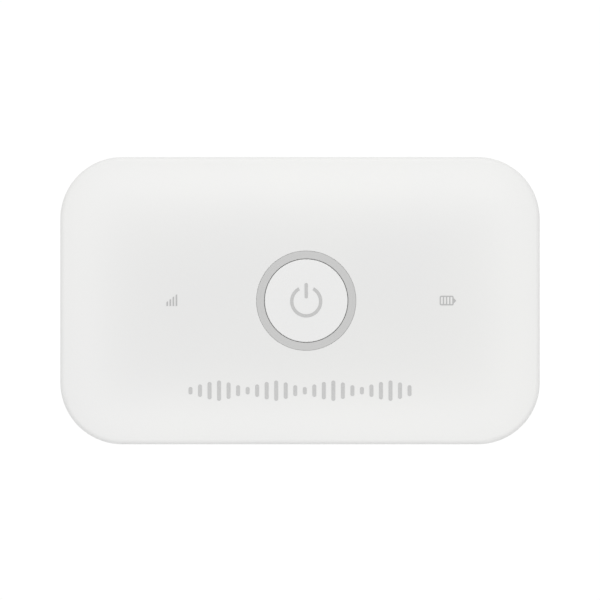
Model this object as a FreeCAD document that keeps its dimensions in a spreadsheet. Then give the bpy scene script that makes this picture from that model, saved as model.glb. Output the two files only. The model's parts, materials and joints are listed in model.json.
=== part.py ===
import FreeCAD, Part
import os
import Sketcher

# Pocket-size battery-powered mobile hotspot, 96.8 x 58 x 12.8 mm.
# Frame: the device lies on its back. +Z points out of the front face, +X to the right
# and +Y to the top of the front face. The origin is the centre of the flat rear face.
# All lengths are millimetres.

Vector = FreeCAD.Vector
Constraint = Sketcher.Constraint
doc = FreeCAD.newDocument("mobile_hotspot")
sheet = doc.addObject("Spreadsheet::Sheet", "dims")
nodes = []


# ------------------------------------------------------------------ sizes
class Size:
    """A number together with the spreadsheet expression that gives it."""

    def __init__(self, value, formula):
        self.value, self.formula = float(value), formula

    def __add__(self, other):
        other = size(other)
        return Size(self.value + other.value, "(%s + %s)" % (self.formula, other.formula))

    def __sub__(self, other):
        other = size(other)
        return Size(self.value - other.value, "(%s - %s)" % (self.formula, other.formula))

    def __mul__(self, other):
        other = size(other)
        return Size(self.value * other.value, "(%s * %s)" % (self.formula, other.formula))

    def __truediv__(self, other):
        other = size(other)
        return Size(self.value / other.value, "(%s / %s)" % (self.formula, other.formula))

    def __neg__(self):
        return Size(-self.value, "(0 - %s)" % self.formula)

    def __rsub__(self, other):
        return size(other) - self


def size(x):
    return x if isinstance(x, Size) else Size(x, repr(round(float(x), 6)))


row_count = 0


def dim(alias, value, note=""):
    """Adds one driving dimension to the sheet and returns it."""
    global row_count
    row_count += 1
    sheet.set("A%d" % row_count, note or alias.replace("_", " "))
    sheet.set("B%d" % row_count, repr(value))
    sheet.setAlias("B%d" % row_count, alias)
    return Size(value, "dims." + alias)


def bind(item, prop, length):
    """Ties a property to the sheet if its length depends on a driving dimension."""
    if "dims." in length.formula:
        item.setExpression(prop, length.formula)


def set_size(item, prop, length):
    length = size(length)
    setattr(item, prop, length.value)
    bind(item, prop, length)


def set_position(item, prop, x, y, z):
    base = [size(x), size(y), size(z)]
    point = Vector(*[part.value for part in base])
    setattr(item, prop, FreeCAD.Placement(point, FreeCAD.Rotation()))
    for axis, part in zip("xyz", base):
        bind(item, "%s.Base.%s" % (prop, axis), part)


# ------------------------------------------------------------------ sketch shapes
# Each shape is a function that adds its geometry to a sketch and returns a list of
# (constraint, driving length or None).
def hold(geometry, point, x=None, y=None):
    """Holds a point at x and y from the sketch origin; None leaves that way free."""
    held = []
    for offset, kind, axis in ((x, "DistanceX", -2), (y, "DistanceY", -1)):
        if offset is None:
            continue
        if abs(offset.value) < 1e-9:
            held.append((Constraint("PointOnObject", geometry, point, axis), None))
        elif offset.value > 0:
            held.append((Constraint(kind, -1, 1, geometry, point, offset.value), offset))
        else:
            offset = -offset
            held.append((Constraint(kind, geometry, point, -1, 1, offset.value), offset))
    return held


def add_line(sketch, start, end):
    return sketch.addGeometry(Part.LineSegment(Vector(*start), Vector(*end)), False)


def circle(radius, x=0, y=0):
    radius, x, y = size(radius), size(x), size(y)

    def draw(sketch):
        centre = Vector(x.value, y.value, 0)
        ring = sketch.addGeometry(Part.Circle(centre, Vector(0, 0, 1), radius.value), False)
        return [(Constraint("Radius", ring, radius.value), radius)] + hold(ring, 3, x, y)

    return draw


def polygon(points):
    points = [(size(x), size(y)) for x, y in points]

    def draw(sketch):
        flat = [(x.value, y.value, 0) for x, y in points]
        following = flat[1:] + flat[:1]
        lines = [add_line(sketch, start, end) for start, end in zip(flat, following)]
        held = []
        for line, after in zip(lines, lines[1:] + lines[:1]):
            held.append((Constraint("Coincident", line, 2, after, 1), None))
        for line, (x, y) in zip(lines, points):
            held += hold(line, 1, x, y)
        return held

    return draw


def rect(width, depth, corner=0, x=0, y=0):
    """Rectangle centred on (x, y) with rounded corners."""
    width, depth, corner, x, y = [size(v) for v in (width, depth, corner, x, y)]
    left, right = x - width / 2, x + width / 2
    low, high = y - depth / 2, y + depth / 2
    if corner.value < 1e-9:
        return polygon([(left, low), (right, low), (right, high), (left, high)])

    def draw(sketch):
        radius = corner.value
        x0, x1, y0, y1 = left.value, right.value, low.value, high.value
        xa, xb, ya, yb = x0 + radius, x1 - radius, y0 + radius, y1 - radius
        half_turn = 3.141592653589793
        # side start, side end, centre of the arc after it, start of the arc in half turns
        steps = (
            ((xa, y0, 0), (xb, y0, 0), (xb, ya, 0), 1.5),
            ((x1, ya, 0), (x1, yb, 0), (xb, yb, 0), 0.0),
            ((xb, y1, 0), (xa, y1, 0), (xa, yb, 0), 0.5),
            ((x0, yb, 0), (x0, ya, 0), (xa, ya, 0), 1.0),
        )
        edges = []
        for start, end, centre, turn in steps:
            edges.append(add_line(sketch, start, end))
            ring = Part.Circle(Vector(*centre), Vector(0, 0, 1), radius)
            arc = Part.ArcOfCircle(ring, turn * half_turn, (turn + 0.5) * half_turn)
            edges.append(sketch.addGeometry(arc, False))
        held = []
        for edge, after in zip(edges, edges[1:] + edges[:1]):
            held.append((Constraint("Tangent", edge, 2, after, 1), None))
        bottom_side, right_side, top_side, left_side = edges[0::2]
        arcs = edges[1::2]
        for side in (bottom_side, top_side):
            held.append((Constraint("Horizontal", side), None))
        for side in (right_side, left_side):
            held.append((Constraint("Vertical", side), None))
        for arc in arcs[1:]:
            held.append((Constraint("Equal", arcs[0], arc), None))
        held.append((Constraint("Radius", arcs[0], radius), corner))
        held += hold(bottom_side, 1, y=low) + hold(top_side, 1, y=high)
        held += hold(left_side, 1, x=left) + hold(right_side, 1, x=right)
        return held

    return draw


# ------------------------------------------------------------------ feature helpers
def origin_part(body, role):
    return [f for f in body.Origin.OriginFeatures if f.Role == role][0]


def new_body(label, many=False):
    """Starts a piece; many allows it to hold separate solids."""
    body = doc.addObject("PartDesign::Body", label)
    body.Label = label
    body.AllowCompound = many
    nodes.append(body)
    return body


def new_sketch(body, name, level, shapes, at=(0, 0), plane="XY_Plane"):
    """Sketch at a level along the plane's normal (+Z, -Y or +X), its origin moved to at."""
    sketch = body.newObject("Sketcher::SketchObject", body.Name + "_" + name)
    sketch.AttachmentSupport = (origin_part(body, plane), [""])
    sketch.MapMode = "FlatFace"
    set_position(sketch, "AttachmentOffset", at[0], at[1], level)
    held = []
    for draw in shapes:
        held += draw(sketch)
    sketch.addConstraint([constraint for constraint, length in held])
    for number, (constraint, length) in enumerate(held):
        if length is not None and "dims." in length.formula:
            sketch.renameConstraint(number, "size_%d" % number)
            bind(sketch, "Constraints.size_%d" % number, length)
    return sketch


def add_feature(body, kind):
    return body.newObject("PartDesign::" + kind, body.Name + "_" + kind)


def extrude(kind, body, name, level, length, shapes, reverse=False, **where):
    sketch = new_sketch(body, name, level, shapes, **where)
    made = add_feature(body, kind)
    made.Profile = sketch
    set_size(made, "Length", length)
    made.Reversed = reverse
    body.Tip = made
    return made


def pad(body, name, level, length, *shapes, **options):
    """Adds material along the sketch normal, or against it with reverse."""
    return extrude("Pad", body, name, level, length, shapes, **options)


def pocket(body, name, level, length, *shapes, **options):
    """Cuts against the sketch normal, or along it with reverse."""
    return extrude("Pocket", body, name, level, length, shapes, **options)


def revolve(body, x, y, points):
    """Turns a section of (radius, z) points about the upright axis through (x, y)."""
    section = [polygon(points)]
    sketch = new_sketch(body, "section", -size(y), section, at=(x, 0), plane="XZ_Plane")
    made = add_feature(body, "Revolution")
    made.Profile = sketch
    made.ReferenceAxis = (sketch, ["V_Axis"])
    made.Angle = 360
    body.Tip = made
    return made


def dress(body, kind, amount, want):
    """Fillet or chamfer on the edges of the body's tip that want() picks."""
    doc.recompute()
    tip = body.Tip
    edges = enumerate(tip.Shape.Edges, 1)
    names = ["Edge%d" % number for number, edge in edges if want(edge.BoundBox)]
    if not names:
        raise RuntimeError("no edge picked on " + body.Label)
    made = add_feature(body, kind)
    made.Base = (tip, names)
    set_size(made, "Radius" if kind == "Fillet" else "Size", amount)
    body.Tip = made


def at_z(z):
    z = size(z).value
    return lambda box: abs(box.ZMin - z) < 1e-4 and abs(box.ZMax - z) < 1e-4


def mirror(body, features, *planes):
    """Mirrors features in each plane in turn: YZ_Plane left-right, XZ_Plane top-bottom."""
    made = body.newObject("PartDesign::MultiTransform", body.Name + "_Mirrors")
    steps = []
    for plane in planes:
        step = body.newObject("PartDesign::Mirrored", body.Name + "_Mirror")
        step.MirrorPlane = (origin_part(body, plane), [""])
        steps.append(step)
    made.Originals = features
    made.Transformations = steps
    body.Tip = made


def row(body, feature, axis, pitch, count):
    """Linear pattern of count copies along an origin axis."""
    made = body.newObject("PartDesign::LinearPattern", body.Name + "_Row")
    made.Originals = [feature]
    made.Direction = (origin_part(body, axis), [""])
    made.Occurrences = count
    set_size(made, "Length", size(pitch) * (count - 1))
    body.Tip = made


def primitive(kind, label, x, y, z, **sizes):
    piece = doc.addObject("Part::" + kind, label)
    piece.Label = label
    for prop, length in sizes.items():
        set_size(piece, prop, length)
    set_position(piece, "Placement", x, y, z)
    nodes.append(piece)


def block(label, x, y, z, width, depth, height):
    """Box centred on (x, y) with its lowest face at z."""
    left, low = size(x) - size(width) / 2, size(y) - size(depth) / 2
    primitive("Box", label, left, low, z, Length=width, Width=depth, Height=height)


def cylinder(label, x, y, z, radius, height):
    primitive("Cylinder", label, x, y, z, Radius=radius, Height=height)


# ------------------------------------------------------------------ driving dimensions
overlap = 0.1  # run-in of joined pads and run-out of cuts
gap = 0.02  # gap left between stacked pieces

body_width = dim("body_width", 96.8, "overall width, X")
body_depth = dim("body_depth", 58.0, "overall height of the front face, Y")
body_thick = dim("body_thick", 12.8, "overall thickness, Z")
body_corner = dim("corner_radius", 12.5, "plan corner radius")
seam = dim("seam_level", 5.6, "parting line between front shell and rear cover")
seam_bevel = dim("parting_chamfer", 0.25, "bevel on both sides of the parting line")
wall = dim("shell_wall", 1.5, "front shell side wall")
skin = dim("front_skin", 1.4, "front shell face thickness")
skin_inside = body_thick - skin

chassis_inset = dim("chassis_inset", 1.65, "chassis outline inset from the case outline")
floor_z = dim("chassis_floor_level", 5.8, "rear face of the chassis floor")
floor_thick = dim("chassis_floor_thick", 0.7)

board_z = dim("board_level", 7.8, "rear face of the circuit board")
board_thick = dim("board_thick", 0.8)
board_top = board_z + board_thick

button_x = dim("button_x", 1.25, "button centre, right of the case centre")
button_y = dim("button_y", 0.0)
button_at = (button_x, button_y)
ring_inner = dim("ring_inner_radius", 8.48)
ring_outer = dim("ring_outer_radius", 10.05)
ring_thick = dim("ring_thick", 0.78)

ink = dim("ink_thick", 0.03, "height of a printed mark")
screw_x = dim("screw_x", 37.0)
screw_y = dim("screw_y", 20.8)
pin_x = dim("locating_pin_x", 36.0)

battery_x = dim("battery_x", -8.5, "battery centre")
battery_width = dim("battery_width", 66.0)
battery_depth = dim("battery_depth", 46.0)
battery_thick = dim("battery_thick", 4.2)
battery_z = dim("battery_level", 1.3)

usb_x = dim("usb_x", 0.0)
usb_z = dim("usb_level", 8.2, "centre of the micro-USB port")
sim_x = dim("sim_x", 34.0)
reset_x = dim("reset_x", 30.2)
reset_y = dim("reset_y", -21.3)
reset_at = (reset_x, reset_y)
connector_y = dim("connector_y", 15.5)

signal_x = dim("signal_icon_x", -25.84)
level_x = dim("battery_icon_x", 29.62)
icon_y = dim("icon_y", 0.02)
window_width = dim("light_window_width", 5.2)
window_depth = dim("light_window_depth", 3.8)
window_deep = dim("light_window_deep", 0.7)


def outline(inset=0.0):
    """The case outline, moved inwards by inset."""
    inset = size(inset)
    return rect(body_width - inset * 2, body_depth - inset * 2, body_corner - inset)


def at_screws(make, body, name, level, length, radius, reverse=False):
    """Pads or pockets a circle on each of the four screw axes."""
    shape = circle(radius, screw_x, screw_y)
    made = make(body, name, level, length, shape, reverse=reverse)
    mirror(body, [made], "YZ_Plane", "XZ_Plane")


# ------------------------------------------------------------------ front shell
shell = new_body("front_shell")
pad(shell, "outline", seam, body_thick - seam, outline())
dress(shell, "Fillet", dim("front_edge_radius", 1.0), at_z(body_thick))
dress(shell, "Chamfer", seam_bevel, at_z(seam))
pocket(shell, "cavity", seam, skin_inside - seam, outline(wall), reverse=True)
dress(shell, "Fillet", dim("cavity_edge_radius", 1.0), at_z(skin_inside))
rebate = dim("lip_rebate_inset", 0.7, "rebate in the front shell for the lip")
pocket(shell, "lip_rebate", seam, dim("rebate_height", 0.9), outline(rebate), reverse=True)
# ledge and hole for the button ring and the button
ring_play = 0.03
hole_runout = 0.5
ring_seat = circle(ring_outer + ring_play)
pocket(shell, "ring_seat", body_thick, ring_thick + gap, ring_seat, at=button_at)
button_hole = circle(dim("button_hole_radius", 8.85))
pocket(shell, "button_hole", body_thick, skin + hole_runout, button_hole, at=button_at)
# collar that guides the button flange
pad(
    shell, "collar", skin_inside + overlap, dim("collar_height", 1.1),
    circle(dim("collar_outer_radius", 10.5)),
    circle(dim("collar_inner_radius", 9.6)),
    at=button_at, reverse=True,
)
# thinned windows over the two light guides
pocket(
    shell, "light_windows", skin_inside, window_deep,
    rect(window_width, window_depth, 0.4, signal_x, icon_y),
    rect(window_width, window_depth, 0.4, level_x, icon_y),
    reverse=True,
)
# screw bosses, one in each corner
boss_height = skin_inside + overlap - board_top
at_screws(pad, shell, "boss", board_top, boss_height, dim("boss_radius", 2.1))
pilot_deep = dim("pilot_deep", 2.5)
pilot_radius = dim("pilot_radius", 0.65)
at_screws(pocket, shell, "boss_pilot", board_top, pilot_deep, pilot_radius, reverse=True)
# two board locating pins
pin = circle(dim("locating_pin_radius", 0.75), pin_x)
made = pad(shell, "locating_pin", board_z + overlap, skin_inside - board_z, pin)
mirror(shell, [made], "YZ_Plane")
# stiffening ribs on the two long walls
rib_x = dim("shell_rib_x", 21.0)
rib_width = dim("shell_rib_width", 0.8)
rib_depth = dim("shell_rib_depth", 1.1)
rib_y = body_depth / 2 - wall - rib_depth / 2 + overlap
rib = rect(rib_width, rib_depth + overlap * 2, x=rib_x, y=rib_y)
made = pad(shell, "rib", board_top + overlap, skin_inside - board_top, rib)
mirror(shell, [made], "YZ_Plane", "XZ_Plane")
# opening for the charging plug in the bottom long wall
opening_start = 0.5  # distance outside the wall
opening_extra = 1.2  # cut length beyond the wall thickness
opening = rect(
    dim("usb_opening_width", 8.3),
    dim("usb_opening_height", 3.1),
    dim("usb_opening_radius", 0.9),
    usb_x,
    usb_z,
)
pocket(
    shell, "usb_opening", body_depth / 2 + opening_start, wall + opening_extra,
    opening, plane="XZ_Plane",
)

# ------------------------------------------------------------------ ring and button
ring = new_body("button_ring")
ring_z = body_thick - ring_thick
bevel = dim("ring_chamfer", 0.09)
revolve(ring, button_x, button_y, [
    (ring_inner, ring_z),
    (ring_outer, ring_z),
    (ring_outer, body_thick - bevel),
    (ring_outer - bevel, body_thick),
    (ring_inner + bevel, body_thick),
    (ring_inner, body_thick - bevel),
])

button = new_body("power_button")
button_radius = dim("button_radius", 8.38)
post_radius = dim("button_post_radius", 1.4)
post_z = dim("button_post_level", 10.1)
flange_radius = dim("button_flange_radius", 9.4)
flange_z = dim("button_flange_level", 10.85)
flange_top = flange_z + dim("button_flange_thick", 0.5)
cap_inside = body_thick - dim("button_cap_thick", 0.9)
hollow_radius = dim("button_hollow_radius", 7.2)
revolve(button, button_x, button_y, [
    (0, post_z),
    (post_radius, post_z),
    (post_radius, cap_inside),
    (hollow_radius, cap_inside),
    (hollow_radius, flange_z),
    (flange_radius, flange_z),
    (flange_radius, flange_top),
    (button_radius, flange_top),
    (button_radius, body_thick),
    (0, body_thick),
])
dress(button, "Fillet", dim("button_edge_radius", 0.22), at_z(body_thick))

# ring between the board and the button flange
cushion = new_body("button_cushion")
pad(
    cushion, "ring", board_top + gap, flange_z - board_top - gap * 2,
    circle(dim("cushion_outer_radius", 9.0)),
    circle(dim("cushion_inner_radius", 7.8)),
    at=button_at,
)

switch = new_body("power_switch_base")
switch_width = dim("power_switch_width", 4.4)
switch_height = dim("power_switch_height", 1.05)
switch_top = board_top + switch_height
switch_well = circle(dim("power_switch_well_radius", 1.05))
switch_well_deep = 0.85
rivet_radius, rivet_offset, rivet_height = 0.3, 1.55, 0.08
rivets = [
    circle(rivet_radius, x, y)
    for y in (rivet_offset, -rivet_offset)
    for x in (rivet_offset, -rivet_offset)
]
switch_plan = rect(switch_width, switch_width, 0.5)
pad(switch, "plan", board_top, switch_height, switch_plan, at=button_at)
pocket(switch, "well", switch_top, switch_well_deep, switch_well, at=button_at)
pad(switch, "rivets", switch_top, rivet_height, *rivets, at=button_at)

plunger_z = dim("plunger_level", 9.2)
plunger_height = post_z - dim("plunger_gap", 0.01) - plunger_z
plunger_radius = dim("plunger_radius", 1.0)
cylinder(
    "power_switch_plunger", button_x, button_y, plunger_z, plunger_radius, plunger_height
)

# ------------------------------------------------------------------ printed marks
# power symbol on the button: open ring and a short bar
symbol = new_body("button_symbol", many=True)
symbol_drop = 0.15
symbol_at = (button_x, button_y - symbol_drop)
pad(
    symbol, "ring", body_thick, ink,
    circle(dim("symbol_outer_radius", 3.25)),
    circle(dim("symbol_inner_radius", 2.58)),
    at=symbol_at,
)
wedge = polygon([(0, 0), (2.35, 4.2), (-2.35, 4.2)])
pocket(symbol, "gap", body_thick + ink, ink, wedge, at=symbol_at)
pad(symbol, "bar", body_thick, ink, rect(0.67, 3.1, 0.3, y=2.15), at=symbol_at)

# four rising signal bars with sloped tops
signal_icon = new_body("signal_icon", many=True)
bar_width = dim("signal_bar_width", 0.31)
bar_pitch = dim("signal_bar_pitch", 0.617)
bar_foot = -1.09
rise, fall = 0.08, 0.1  # top right corner above, top left corner below the nominal top
bars = []
for k, top in enumerate((-0.2, 0.26, 0.74, 1.2)):
    left = bar_pitch * (k - 1.5) - bar_width / 2
    right = left + bar_width
    bars.append(polygon([
        (left, bar_foot), (right, bar_foot), (right, top + rise), (left, top - fall),
    ]))
pad(signal_icon, "bars", body_thick, ink, *bars, at=(signal_x, icon_y))

# battery outline with a pointed right end and three cell dividers
battery_icon = new_body("battery_icon", many=True)
line = dim("battery_icon_line", 0.25)
icon_left, icon_right, icon_half = -1.46, 1.36, 0.97
icon_cut = 0.22  # corner cut of the outline
tip_x = 1.84
cells_right = 1.34  # right limit of the cells and the line beside them
icon_shapes = [polygon([
    (icon_left + icon_cut, -icon_half),
    (icon_right - icon_cut, -icon_half),
    (icon_right, icon_cut - icon_half),
    (icon_right, -0.56),
    (tip_x, -0.08),
    (tip_x, 0.02),
    (icon_right, 0.5),
    (icon_right, icon_half - icon_cut),
    (icon_right - icon_cut, icon_half),
    (icon_left + icon_cut, icon_half),
    (icon_left, icon_half - icon_cut),
    (icon_left, icon_cut - icon_half),
])]
cell_count = 4
cell_pitch = (cells_right - icon_left - line) / cell_count
for k in range(cell_count):
    left = line + icon_left + cell_pitch * k
    right = left + cell_pitch - line
    low, high = line - icon_half, icon_half - line
    icon_shapes.append(polygon([(left, low), (right, low), (right, high), (left, high)]))
pad(battery_icon, "frame", body_thick, ink, *icon_shapes, at=(level_x, icon_y))

# wave of upright bars below the button: six heights, repeated four times
marking = new_body("front_marking", many=True)
mark_width = dim("mark_bar_width", 0.8)
mark_pitch = dim("mark_bar_pitch", 1.92)
mark_y = dim("mark_y", -18.15)
mark_corner = 0.38
mark_heights = (1.5, 2.5, 3.5, 4.1, 3.3, 2.2)
wave_count = 4
first_mark = (len(mark_heights) * wave_count - 1) / 2  # pitches left of centre
for k, height in enumerate(mark_heights):
    made = pad(
        marking, "bar_%d" % (k + 1), body_thick, ink,
        rect(mark_width, height, mark_corner),
        at=(mark_pitch * (k - first_mark), mark_y),
    )
    row(marking, made, "X_Axis", mark_pitch * len(mark_heights), wave_count)

# ------------------------------------------------------------------ indicators
guide_z = dim("guide_level", 9.5)
guide_play = 0.2  # guide smaller than its window, both sides together
dish_radius, dish_deep = 1.1, 0.3
led_width, led_depth = 1.6, 0.8
led_height = dim("led_height", 0.5)
shield_margin = 1.8  # shield larger than the window, both sides together
shield_play = 0.1
shield_frames = []
for label, x in (("signal", signal_x), ("battery", level_x)):
    guide = new_body(label + "_light_guide")
    plan = rect(window_width - guide_play, window_depth - guide_play, 0.3)
    guide_length = skin_inside + window_deep - gap - guide_z
    pad(guide, "plan", guide_z, guide_length, plan, at=(x, icon_y))
    dish = circle(dish_radius)
    pocket(guide, "lens_dish", guide_z, dish_deep, dish, at=(x, icon_y), reverse=True)
    block(label + "_led", x, icon_y, board_top, led_width, led_depth, led_height)
    for margin, corner in ((shield_margin, 0.6), (shield_play, 0.3)):
        frame = rect(window_width + margin, window_depth + margin, corner, x, icon_y)
        shield_frames.append(frame)

light_shields = new_body("light_shields", many=True)
shield_length = skin_inside - board_top - gap * 2
pad(light_shields, "frames", board_top + gap, shield_length, *shield_frames)

# ------------------------------------------------------------------ inner chassis
chassis = new_body("inner_chassis")
floor_front = floor_z + floor_thick
floor_joint = floor_z + overlap
floor_cut = floor_z - overlap
pad(chassis, "floor", floor_z, floor_thick, outline(chassis_inset))
# rim behind the floor, inside the rear cover wall
rim_z = dim("chassis_rim_level", 3.2)
rim_inside = chassis_inset + dim("chassis_rim_thick", 0.9)
pad(
    chassis, "rim", floor_joint, floor_joint - rim_z,
    outline(chassis_inset), outline(rim_inside), reverse=True,
)
# battery bay wall
bay_gap = dim("bay_gap", 0.25)
bay_margin = bay_gap + dim("bay_wall", 1.0)
bay_z = dim("bay_wall_level", 2.3)
pad(
    chassis, "bay", floor_joint, floor_joint - bay_z,
    rect(battery_width + bay_margin * 2, battery_depth + bay_margin * 2, 2.0, battery_x),
    rect(battery_width + bay_gap * 2, battery_depth + bay_gap * 2, 1.0, battery_x),
    reverse=True,
)
# ribs tying the bay wall to the rim
rim_y = body_depth / 2 - rim_inside
bay_y = battery_depth / 2 + bay_margin
ribs = [
    rect(0.8, rim_y - bay_y + overlap * 2, x=x, y=(rim_y + bay_y) / 2)
    for x in (-30.0, -10.0, 10.0)
]
made = pad(
    chassis, "ribs", floor_joint, dim("chassis_rib_height", 1.6), *ribs, reverse=True
)
mirror(chassis, [made], "XZ_Plane")
# screw bosses and board posts in front of the floor
post_level = floor_front - overlap
post_height = board_z - post_level
boss_radius = dim("chassis_boss_radius", 2.2)
at_screws(pad, chassis, "screw_boss", post_level, post_height, boss_radius)
post_places = ((-22.0, 9.0), (-22.0, -9.0), (6.0, 14.0), (6.0, -12.0), (20.0, 0.0))
posts = [circle(1.0, x, y) for x, y in post_places]
pad(chassis, "board_posts", post_level, post_height, *posts)
# screw clearance and head recess
hole_deep = board_z - floor_z + overlap * 2
hole_radius = dim("screw_clearance_radius", 0.95)
at_screws(pocket, chassis, "screw_hole", floor_cut, hole_deep, hole_radius, reverse=True)
recess_deep = dim("head_recess_deep", 0.85)
recess_radius = dim("head_recess_radius", 1.55)
at_screws(
    pocket, chassis, "head_recess", floor_cut, recess_deep, recess_radius, reverse=True
)
# window over the SIM socket and its slide-out recess
sim_window = rect(13.4, 27.6, 0.8, sim_x, -4.4)
pocket(chassis, "sim_window", floor_cut, floor_thick + 0.4, sim_window, reverse=True)
# opening for the battery connector, through the floor and the bay wall
pocket(
    chassis, "connector_window", bay_z - overlap, floor_front - bay_z + 0.4,
    rect(3.7, 9.4, x=26.45, y=connector_y), reverse=True,
)
# reset access hole
reset_hole = circle(dim("reset_hole_radius", 0.8), reset_x, reset_y)
pocket(chassis, "reset_hole", floor_cut, floor_thick + 0.3, reset_hole, reverse=True)
# thumb notch at the left end for lifting the battery out
thumb_notch = rect(1.9, 13.0, x=battery_x - battery_width / 2 - 0.8)
thumb_deep = dim("thumb_notch_deep", 2.7)
pocket(chassis, "thumb_notch", bay_z - overlap, thumb_deep, thumb_notch, reverse=True)

# ------------------------------------------------------------------ circuit board
board = new_body("main_board")
board_width = dim("board_width", 80.0)
board_depth = dim("board_depth", 51.8)
board_cut = board_thick + overlap
pad(board, "outline", board_z, board_thick, rect(board_width, board_depth, 3.0))
board_hole_radius = dim("board_hole_radius", 1.2)
at_screws(pocket, board, "screw_hole", board_top, board_cut, board_hole_radius)
pin_hole = circle(dim("pin_hole_radius", 0.9), pin_x)
made = pocket(board, "pin_hole", board_top, board_cut, pin_hole)
mirror(board, [made], "YZ_Plane")
notch_width, notch_depth = 8.0, 2.9
notch_y = -board_depth / 2 + (notch_depth / 2 - overlap)
usb_notch = rect(notch_width, notch_depth, x=usb_x, y=notch_y)
pocket(board, "usb_notch", board_top, board_cut, usb_notch)

# ------------------------------------------------------------------ charging port
usb_length = dim("usb_length", 5.0)
usb_back = dim("usb_back", 23.4, "distance of the port's back end from the case centre line")
usb_section = {"at": (usb_x, usb_z), "plane": "XZ_Plane"}


def port_section(half_width, half_height, shoulder, half_foot):
    """Port profile with its wide side towards the front face."""
    return polygon([
        (-half_width, half_height),
        (-half_width, -shoulder),
        (-half_foot, -half_height),
        (half_foot, -half_height),
        (half_width, -shoulder),
        (half_width, half_height),
    ])


usb_shell = new_body("usb_shell")
pad(
    usb_shell, "section", usb_back, usb_length,
    port_section(3.75, 1.25, 0.35, 2.85),
    port_section(3.47, 0.97, 0.24, 2.74),
    **usb_section
)
tabs = [rect(1.2, 1.4, x=x, y=-24.6) for x in (4.25, -4.25)]
pad(usb_shell, "tabs", board_top, 0.3, *tabs, at=(usb_x, 0))

tongue = new_body("usb_tongue")
root_length, tongue_start, tongue_length = 1.3, 1.2, 2.9
pad(tongue, "block", usb_back, root_length, port_section(3.42, 0.93, 0.22, 2.72), **usb_section)
tongue_section = rect(4.1, 0.62, y=0.42)
pad(
    tongue, "tongue", usb_back + tongue_start, tongue_length, tongue_section, **usb_section
)

usb_contacts = new_body("usb_contacts", many=True)
usb_pitch = dim("usb_contact_pitch", 0.65)
strip = rect(0.28, 2.4, x=usb_pitch * -2, y=-(usb_back + 2.6))
made = pad(usb_contacts, "strip", usb_z - 0.02, 0.12, strip, at=(usb_x, 0))
row(usb_contacts, made, "X_Axis", usb_pitch, 5)

# ------------------------------------------------------------------ reset switch
reset_base = new_body("reset_switch_base")
reset_height = dim("reset_switch_height", 0.95)
reset_well_radius, reset_well_deep = 0.66, 0.8
reset_plan = rect(3.0, 3.0, 0.3)
pad(reset_base, "plan", board_z, reset_height, reset_plan, at=reset_at, reverse=True)
pocket(
    reset_base, "well", board_z - reset_height, reset_well_deep,
    circle(reset_well_radius), at=reset_at, reverse=True,
)
cylinder(
    "reset_button", reset_x, reset_y, dim("reset_tip_level", 6.3), 0.6,
    dim("reset_plunger_length", 1.0),
)

# ------------------------------------------------------------------ shielded chips
shield_height = dim("shield_height", 1.5)
shield_wall = dim("shield_wall", 0.2)
frame_inset = 0.6  # insets are for both sides together
frame_inside_inset = 1.0
flange_inside_inset = 2.2
lid_lift = 0.35  # lower edge of the lid above the board
lid_skin = 0.2


def shield(label, x, y, width, depth):
    """Soldered frame with an inward flange, and the vented lid over it."""
    at = (dim(label + "_shield_x", x), dim(label + "_shield_y", y))
    width = dim(label + "_shield_width", width)
    depth = dim(label + "_shield_depth", depth)

    def inset(amount, corner):
        return rect(width - amount, depth - amount, corner)

    frame = new_body(label + "_shield_frame")
    pad(
        frame, "frame", board_top, shield_height - 0.3,
        inset(frame_inset, 0.8), inset(frame_inside_inset, 0.6), at=at,
    )
    pad(
        frame, "flange", board_top + shield_height - 0.5, 0.2,
        inset(frame_inset, 0.8), inset(flange_inside_inset, 0.4), at=at,
    )
    lid = new_body(label + "_shield_lid")
    lid_z, lid_height = board_top + lid_lift, shield_height - lid_lift
    pad(lid, "plan", lid_z, lid_height, inset(0, 1.0), at=at)
    inside = inset(shield_wall * 2, 0.85)
    pocket(lid, "inside", lid_z, lid_height - lid_skin, inside, at=at, reverse=True)
    vents = [
        circle(0.4, width / 4 * column, depth / 4 * line)
        for column in (-1, 0, 1)
        for line in (-1, 1)
    ]
    pocket(lid, "vent_holes", board_top + shield_height, lid_skin + overlap, *vents, at=at)


shield("baseband", -22.0, 14.0, 24.0, 18.0)
shield("rf", -22.0, -14.2, 24.0, 18.0)
shield("power", 23.0, -13.4, 20.0, 15.6)

modem_x, modem_y = -26.5, 14.0
modem_height = dim("modem_height", 0.9)
# label, x, y, width, depth, height
chips = (
    ("modem_chip", modem_x, modem_y, 11.0, 11.0, modem_height),
    ("memory_chip", -15.6, 14.0, 7.0, 9.0, dim("memory_height", 0.85)),
    ("rf_transceiver_chip", -27.0, -14.2, 6.5, 6.5, dim("transceiver_height", 0.8)),
    ("power_management_chip", 18.6, -13.4, 6.2, 6.2, dim("pmic_height", 0.75)),
    ("wifi_chip", 28.6, -15.2, 5.4, 5.4, dim("wifi_height", 0.75)),
)
for label, x, y, width, depth, height in chips:
    block(label, x, y, board_top, width, depth, height)
pad_z = board_top + modem_height + 0.01
block("thermal_pad", modem_x, modem_y, pad_z, 10.4, 10.4, dim("thermal_pad_thick", 0.38))

amplifiers = new_body("power_amplifiers", many=True)
amplifier = rect(4.4, 3.2, x=-16.5, y=-19.2)
made = pad(amplifiers, "plan", board_top, dim("amplifier_height", 0.75), amplifier)
row(amplifiers, made, "Y_Axis", 5.0, 3)

crystals = new_body("crystals", many=True)
pad(
    crystals, "plan", board_top, dim("crystal_height", 0.7),
    rect(3.2, 2.5, 0.3, -21.4, -9.0),
    rect(2.5, 2.0, 0.3, 28.6, -9.4),
)

inductors = new_body("power_inductors", many=True)
inductor = rect(3.0, 3.0, 0.4, 16.0, 8.6)
made = pad(inductors, "plan", board_top, dim("inductor_height", 1.2), inductor)
row(inductors, made, "X_Axis", 4.2, 3)

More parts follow.
